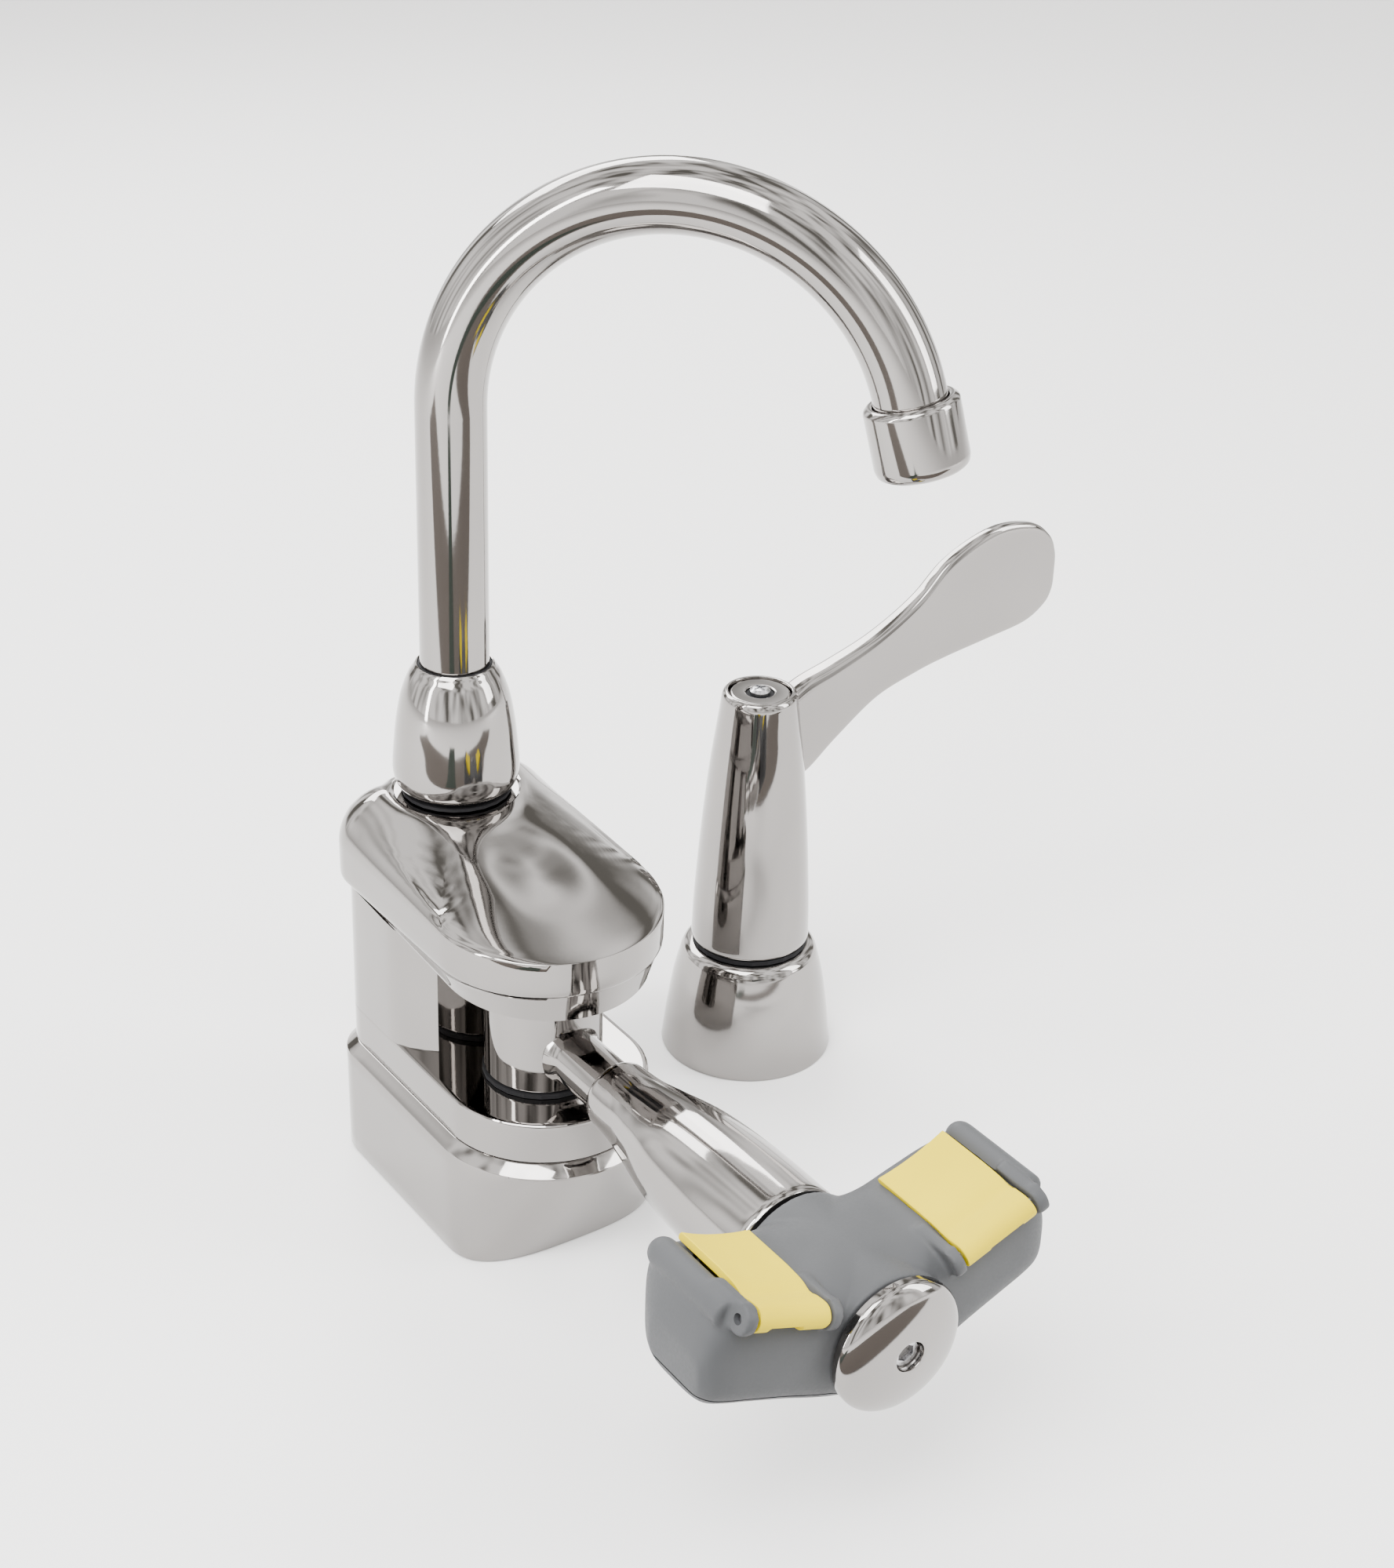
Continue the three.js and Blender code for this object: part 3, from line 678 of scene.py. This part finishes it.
def head_stations():
    first = curve_through([(x, y, low) for x, y, low, _, _ in HEAD_LINE], 5)
    second = curve_through([(x, high, depth) for x, _, _, high, depth in HEAD_LINE], 5)
    return [(p.x, p.y, p.z, q.y, q.z) for p, q in zip(first, second)]


def hinge_matrix(side):
    """Frame on a cover's hinge line: X along the line, Y back over the head, Z up off the cover."""
    hinge = joint("left_cover_flip" if side < 0 else "right_cover_flip")
    return at(Vector(hinge["pos_m"])) @ Matrix.Rotation(-side * HEAD_TILT, 4, "Y")


def seat_matrix(side):
    back = HEAD_MID - hinge_matrix(side).translation.y / MM
    return at(Vector((0, back, SEAT_LIFT)) * MM) @ hinge_matrix(side)


def add_bar(bm, matrix, radius, start, end, segments=40, ball=False):
    """A round bar along the matrix's X axis, in mm. Its start may be rounded like a ball."""
    stops = [(start, radius)]
    if ball:
        turns = (0.15, 0.4, 0.7, 1.0, 1.3, 1.57)
        stops = [(start + radius * (1 - math.cos(a)), radius * math.sin(a)) for a in turns]
    stops.append((end, radius))
    rings = []
    for x, r in stops:
        points = [Vector((x, r * math.cos(a), r * math.sin(a))) for a in angles(segments)]
        rings.append([matrix @ (point * MM) for point in points])
    skin(bm, rings)


def add_box(bm, matrix, low, high):
    (x0, y0, z0), (x1, y1, z1) = low, high
    corners = [(x0, y0), (x1, y0), (x1, y1), (x0, y1)]
    skin(bm, [[matrix @ (Vector((x, y, z)) * MM) for x, y in corners] for z in (z0, z1)])


def seam_band(bm, low_offset, high_offset):
    """Everything between two heights over the head's underside."""
    front = HEAD_MID - SEAM_REACH
    rear = HEAD_MID + SEAM_REACH
    rings = []
    for x, _, low, _, _ in head_stations():
        bottom = low + low_offset
        top = low + high_offset
        points = [(front, bottom), (rear, bottom), (rear, top), (front, top)]
        rings.append([Vector((x * 1.1, y, z)) * MM for y, z in points])
    skin(bm, rings)


def holder(name, bm):
    """A loose object that holds a bmesh."""
    bmesh.ops.recalc_face_normals(bm, faces=bm.faces)
    return linked(name, mesh_from(name, bm))


def settle(item):
    """Applies an object's modifiers."""
    graph = bpy.context.evaluated_depsgraph_get()
    mesh = bpy.data.meshes.new_from_object(item.evaluated_get(graph))
    item.modifiers.clear()
    item.data = mesh


def carve(item, tools):
    for tool in tools:
        cutter = item.modifiers.new("cut", "BOOLEAN")
        cutter.operation = "DIFFERENCE"
        cutter.solver = "EXACT"
        cutter.object = tool
    settle(item)


def blended_head():
    """The head's manifold, end ridges, waterway and hinge ears run together by soft fillets."""
    bm = bmesh.new()
    rings = []
    for x, y, low, high, depth in head_stations():
        ring = []
        for angle in angles(96):
            c, s = math.cos(angle), math.sin(angle)
            across = depth * math.copysign(abs(c) ** (2 / HEAD_POWER), c)
            up = (high - low) / 2 * math.copysign(abs(s) ** (2 / HEAD_POWER), s)
            ring.append(Vector((x, y + across, (low + high) / 2 + up)) * MM)
        rings.append(ring)
    skin(bm, rings)
    waterway = forwards() @ Matrix.Rotation(-math.pi / 2, 4, "Y")
    add_bar(bm, waterway, WATERWAY_R, PIVOT_Y - HEAD_MID - 18.4, PIVOT_Y - HEAD_FRONT, 96)
    quarter_turn = Matrix.Rotation(-math.pi / 2, 4, "Z")
    for side in (-1, 1):
        ridge = seat_matrix(side) @ at(Vector((side * 13.6, 0, -2.4)) * MM) @ quarter_turn
        add_bar(bm, ridge, RIDGE_R, -14.8, 15.5, 40, True)
        for near, far in ((11.2, 14.6), (-14.2, -11.2)):
            ends = sorted((side * near, side * far))
            add_bar(bm, hinge_matrix(side), EAR_R, *ends)
            add_box(bm, hinge_matrix(side), (ends[0], 0, -3.6), (ends[1], 12, 3.6))
    body = holder("head_work", bm)
    remesh = body.modifiers.new("remesh", "REMESH")
    remesh.mode = "VOXEL"
    remesh.voxel_size = 0.00055
    ease = body.modifiers.new("ease", "SMOOTH")
    ease.factor = 0.6
    ease.iterations = 10
    settle(body)
    return body


def head_mouldings():
    """Shell and pan: the blended head cut on either side of the seam, the shell with its seats."""
    body = blended_head()
    slots, bores, rooms, below, above = (bmesh.new() for _ in range(5))
    for side in (-1, 1):
        add_box(slots, seat_matrix(side), (-10.9, -40, -0.6), (10.9, 40, 7.4))
        turned(bores, [(11, -8), (11, 3)], seat_matrix(side), 64)
        add_bar(rooms, hinge_matrix(side), BARREL_R + 0.5, -11, 11)
        pin_hole = sorted((side * 12.6, side * 20))
        add_bar(rooms, hinge_matrix(side), 1.35, *pin_hole)
    seam_band(below, -SEAM_REACH, PAN_HEIGHT + SEAM_GAP)
    seam_band(above, PAN_HEIGHT - SEAM_GAP, 2 * SEAM_REACH)
    tools = [holder(f"cut_{i}", bm) for i, bm in enumerate((slots, bores, rooms, below, above))]
    pan = linked("head_pan_moulding", body.data.copy())
    carve(body, tools[:4])
    carve(pan, tools[4:])
    shell = linked("head_upper_moulding", body.data)
    for item in (body, *tools):
        bpy.data.objects.remove(item)
    stand_for(shell, "head_shell", 40)
    stand_for(pan, "head_pan", 40)


def cover_outline():
    """A cover's section: top from the rear edge to the barrel, round it, and back underneath."""
    edge = COVER_LENGTH - 0.9
    outline = [(edge - edge * k / 26, BARREL_R) for k in range(27)]
    for k in range(1, 31):
        angle = math.pi / 2 + math.pi * 1.36 * k / 30
        outline.append((BARREL_R * math.cos(angle), BARREL_R * math.sin(angle)))
    outline += [(4.2 + (COVER_LENGTH - 4.6) * k / 22, 1.15) for k in range(23)]
    outline += [(COVER_LENGTH - 0.15, 1.35), (COVER_LENGTH, 1.9), (COVER_LENGTH, 2.6)]
    outline.append((COVER_LENGTH - 0.35, 3.15))
    return outline


def cover(side):
    """Flip cover: a thin saddle that dips before it wraps round its hinge barrel."""
    node = "cover_left" if side < 0 else "cover_right"
    dip_depth, dip_y, dip_reach = 0.75, 5.4, 2.4
    saddle_depth, saddle_start, saddle_run = 0.9, 5, 10
    barrel_floor = -1.0
    end_shrink = {1: 0.35, 0.985: 0.1}
    spots = [-1, -0.985, -0.95] + [-0.9 + 1.8 * k / 30 for k in range(31)] + [0.95, 0.985, 1]
    matrix = hinge_matrix(side)
    rings = []
    for spot in spots:
        shrink = end_shrink.get(abs(spot), 0)
        ring = []
        for y, z in cover_outline():
            dip = dip_depth * math.exp(-(((y - dip_y) / dip_reach) ** 2))
            weight = min(max((y - saddle_start) / saddle_run, 0), 1)
            saddle = saddle_depth * (abs(spot) ** 2.2 - 0.35) * weight
            # The barrel's front is cut away over part of its length.
            if y < 0 and z < barrel_floor and -0.35 < side * spot < 0.62:
                z = barrel_floor
            centre = 2.2 if y > 3 else 0
            z = z + (centre - z) * shrink * 0.5
            width = COVER_HALF - (0.25 if y > 4.4 else 0)
            ring.append(matrix @ (Vector((spot * width, y, z - dip + saddle)) * MM))
        rings.append(ring)
    bm = bmesh.new()
    skin(bm, rings)
    finish_piece(node + "_moulding", bm, node, 38)


def nozzle(side):
    node = "nozzle_left" if side < 0 else "nozzle_right"
    corners = [(4, -8.6), (9.8, -8.6), (9.8, -1.6), (8.8, -1.6), (8.8, -3.6), (4, -3.6)]
    bm = bmesh.new()
    turned(bm, rounded(corners, 0.4), seat_matrix(side), 64)
    finish_piece(node + "_cup", bm, node, 30)


# ---- handle, in mm ----
# Distance out from the stem, underside, top and thickness of the blade.
BLADE = [
    (9, 91, 118, 9.2),
    (16, 91, 121.4, 8.8),
    (27, 99.5, 124.6, 8.4),
    (42, 109.4, 130, 7.4),
    (57, 114, 138.6, 6.6),
    (69, 116.4, 149, 6.0),
    (86, 118.8, 155.7, 5.2),
    (101, 121.2, 154.6, 4.6),
    (108.6, 125.4, 149.4, 4.0),
    (111.4, 129.5, 144, 3.2),
    (112.3, 134, 139.5, 1.8),
]
BLADE_START = 9.6
SLAB_POWER = 0.36


def escutcheon():
    top = top_of("escutcheon")
    shape = [(26.6, 0.6), (26.2, 4.0), (25.3, 11.6), (23.5, 23.3), (21.4, 32.0), (20.6, 34.2)]
    profile = [(22.6, 3), (22.6, 0.2), (23, 0), (26.2, 0), (26.5, 0.2)]
    profile += [(p.x, p.y) for p in curve_through(shape, 8)]
    profile += [(20.1, top - 1.2), (19.2, top - 0.5), (18.0, top - 0.1), (16.8, top), (15.4, top)]
    bm = bmesh.new()
    turned(bm, profile, at(HANDLE), 128)
    finish_piece("bell_escutcheon", bm, "escutcheon", 40)


def add_blade(bm):
    """The lever's blade: slab sections with flat faces and softly rounded long edges."""
    top_line = curve_through([(x, top) for x, _, top, _ in BLADE], 8)
    low_line = curve_through([(x, low) for x, low, _, _ in BLADE], 8)
    thick_line = curve_through([(x, thick) for x, _, _, thick in BLADE], 8)
    rings = []
    for high, low, thick in zip(top_line, low_line, thick_line):
        if high.x < BLADE_START:
            continue
        centre = (high.y + low.y) / 2
        half = max((high.y - low.y) / 2, 0.2)
        wide = thick.y / 2
        ring = []
        for angle in angles(48):
            c, s = math.cos(angle), math.sin(angle)
            y = wide * math.copysign(abs(c) ** SLAB_POWER, c)
            z = centre + math.copysign(min(abs(s) ** SLAB_POWER * half, half), s)
            ring.append(at(HANDLE) @ (Vector((high.x, y, z)) * MM))
        rings.append(ring)
    skin(bm, rings)


def lever_handle():
    base = bottom_of("lever_handle")
    top = 121.4
    shape = [(18.2, base + 1.0), (17.8, 51.6), (16.4, 73.7), (14.5, 95.1), (12.5, 111.0)]
    shape.append((11.4, 119.6))
    profile = [(12, base + 0.1), (17.6, base + 0.1), (18.0, base + 0.4)]
    profile += [(p.x, p.y) for p in curve_through(shape, 8)]
    profile += [(11.1, 120.6), (10.5, top - 0.15), (10.0, top), (9.6, top - 0.1)]
    profile += [(9.5, top - 0.5), (9.5, 118), (4, 118)]
    bm = bmesh.new()
    turned(bm, profile, at(HANDLE), 128)
    add_blade(bm)
    finish_piece("wrist_blade_lever", bm, "lever_handle", 42)


def handle_cap():
    low = bottom_of("handle_cap")
    high = top_of("handle_cap")
    corners = [(4.3, low + 1), (4.3, high - 0.2), (4.7, high)]
    corners += [(8.6, high), (9.2, high - 0.5), (9.2, low)]
    bm = bmesh.new()
    turned(bm, rounded(corners, 0.25), at(HANDLE), 96)
    finish_piece("lever_cap_disc", bm, "handle_cap", 30)


# ---- floor, lights and camera ----
def flat_card(name, size, place, turn, material):
    """A flat stage card that lies face up."""
    bm = bmesh.new()
    bmesh.ops.create_grid(bm, x_segments=1, y_segments=1, size=0.5)
    mesh = mesh_from(name, bm)
    mesh.materials.append(material)
    piece = linked(name, mesh)
    piece.scale = (*size, 1)
    piece.location = place
    piece.rotation_euler = (0, 0, turn)


def stage_material(name, colour):
    material, nodes, links, shader = new_material(name)
    place = nodes.new("ShaderNodeTexCoord").outputs["Object"]
    cloud = noise(nodes, links, place, 3.0, 2.0)
    darker = opaque(*(0.985 * c for c in colour))
    tone = ramp(nodes, links, cloud, [(0.3, darker), (0.7, opaque(*colour))])
    links.new(tone, shader.inputs["Base Color"])
    shader.inputs["Roughness"].default_value = 0.9
    return material


def softbox(name, size, place, power):
    """A rectangular area light that faces the middle of the object."""
    target = Vector((0.05, -0.08, 0.12))
    data = bpy.data.lights.new(name, "AREA")
    data.shape = "RECTANGLE"
    data.size, data.size_y = size
    data.energy = power
    light = linked(name, data)
    light.location = place
    light.rotation_euler = (target - Vector(place)).to_track_quat("-Z", "Y").to_euler()


def build_room():
    """A pale world with soft upright bands, so that the chrome has something to mirror."""
    world = bpy.data.worlds.new("studio")
    world.use_nodes = True
    nodes = world.node_tree.nodes
    links = world.node_tree.links
    squash = nodes.new("ShaderNodeMapping")
    squash.inputs["Scale"].default_value = (3.2, 3.2, 0.7)
    links.new(nodes.new("ShaderNodeTexCoord").outputs["Generated"], squash.inputs["Vector"])
    bands = noise(nodes, links, squash.outputs["Vector"], 1.5, 1.0)
    stops = [(0.36, opaque(0.13, 0.125, 0.115)), (0.6, opaque(1, 0.99, 0.98))]
    sky = nodes["Background"]
    links.new(ramp(nodes, links, bands, stops), sky.inputs["Color"])
    sky.inputs["Strength"].default_value = 3.0
    bpy.context.scene.world = world


def build_stage():
    pale = stage_material("pale floor", (0.86, 0.855, 0.85))
    umber = stage_material("umber card", (0.1, 0.085, 0.075))
    green = stage_material("green card", (0.02, 0.032, 0.024))
    flat_card("floor", (6, 6), (0, 0, 0), -math.pi, pale)
    # Dark strips on the floor, out of the camera's sight, for the tall curves to mirror.
    strip_turn = -32.7 * DEG
    flat_card("floor_umber", (1.3, 0.22), (-0.142, -0.343, 0.002), strip_turn, umber)
    flat_card("floor_green", (0.09, 0.34), (-0.27, -0.36, 0.004), strip_turn, green)
    softbox("key", (0.9, 0.9), (-0.7, -0.5, 1.35), 38)
    softbox("fill", (0.5, 1.2), (1.1, -0.9, 0.8), 22)
    softbox("back", (1.2, 0.5), (0.2, 1.1, 0.95), 24)
    softbox("strip", (0.1, 1.0), (-0.95, -0.05, 0.5), 9)
    build_room()


def build_camera():
    """Camera at the viewing angle: from the front left, looking down 27 degrees."""
    azimuth = -34.9376 * DEG
    pitch = 27.4444 * DEG
    roll = 1.84387 * DEG
    place = Vector((-0.3175, -0.5715, 0.4561))
    forward = math.cos(pitch)
    back = Vector((math.sin(azimuth) * forward, -math.cos(azimuth) * forward, math.sin(pitch)))
    level_right = Vector((math.cos(azimuth), math.sin(azimuth), 0))
    level_up = back.cross(level_right)
    right = math.cos(roll) * level_right + math.sin(roll) * level_up
    up = -math.sin(roll) * level_right + math.cos(roll) * level_up
    data = bpy.data.cameras.new("camera")
    data.sensor_width = 36
    data.lens = 60.44
    camera = linked("camera", data)
    camera.matrix_world = at(place) @ Matrix((right, up, back)).transposed().to_4x4()
    bpy.context.scene.camera = camera


build_camera()
build_stage()
base_skirt()
body_casting()
hood_cover()
collar()
gooseneck()
aerator_housing()
pivot_hub()
arm_tube()
arm_sleeve()
end_cap()
end_cap_screw()
head_mouldings()
for side in (-1, 1):
    cover(side)
    nozzle(side)
escutcheon()
lever_handle()
handle_cap()
